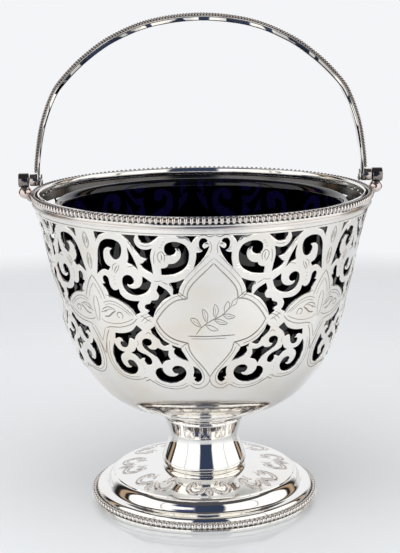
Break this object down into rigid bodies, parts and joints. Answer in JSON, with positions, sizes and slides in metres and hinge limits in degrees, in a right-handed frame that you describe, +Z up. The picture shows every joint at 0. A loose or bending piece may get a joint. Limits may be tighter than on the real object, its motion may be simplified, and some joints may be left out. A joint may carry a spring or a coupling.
{
  "type": "swing-handled basket",
  "caption": "Footed silver basket: pierced round bowl with a loose blue glass liner, beaded rim and foot, and a swing handle.",
  "frame": {"origin": "on the table, under the middle of the foot", "axes": "+Z up along the axis of foot and bowl, X along the handle's pivot line, -Y towards the front"},
  "size_m": [0.126, 0.1186, 0.171],
  "materials": {
    "foot_base_ring": "polished silver",
    "foot": "polished silver, bright-cut",
    "foot_bead_wire": "silver, dark between the beads",
    "stem_ring": "polished silver",
    "stem_collar": "polished silver",
    "bowl": "polished silver, pierced and bright-cut",
    "rim_moulding": "polished silver",
    "rim_bead_wire": "silver, dark between the beads",
    "hinge_lugs": "cast silver, slightly tarnished",
    "hinge_pins": "polished silver",
    "handle_strap": "polished silver",
    "handle_beads": "silver, dark between the beads",
    "glass_liner": "polished deep blue glass"
  },
  "bodies": {
    "basket": {"foot_base_ring": "foot_base_ring", "foot": "foot", "foot_bead_wire": "foot_bead_wire", "stem_ring": "stem_ring", "stem_collar": "stem_collar", "bowl": "bowl", "rim_moulding": "rim_moulding", "rim_bead_wire": "rim_bead_wire", "hinge_lug_right": "hinge_lugs", "hinge_lug_left": "hinge_lugs", "hinge_pin_right": "hinge_pins", "hinge_pin_left": "hinge_pins"},
    "handle": {"handle_strap": "handle_strap", "handle_bead_wire_front": "handle_beads", "handle_bead_wire_back": "handle_beads"},
    "liner": {"glass_liner": "glass_liner"}
  },
  "joints": [
    {"name": "handle_swing", "type": "hinge", "parent": "basket", "child": "handle", "pos_m": [0, 0, 0.115], "axis": [1, 0, 0], "range_deg": [-88, 88]},
    {"name": "liner_lift", "type": "slide", "parent": "basket", "child": "liner", "axis": [0, 0, 1], "range_m": [0, 0.022]}
  ]
}
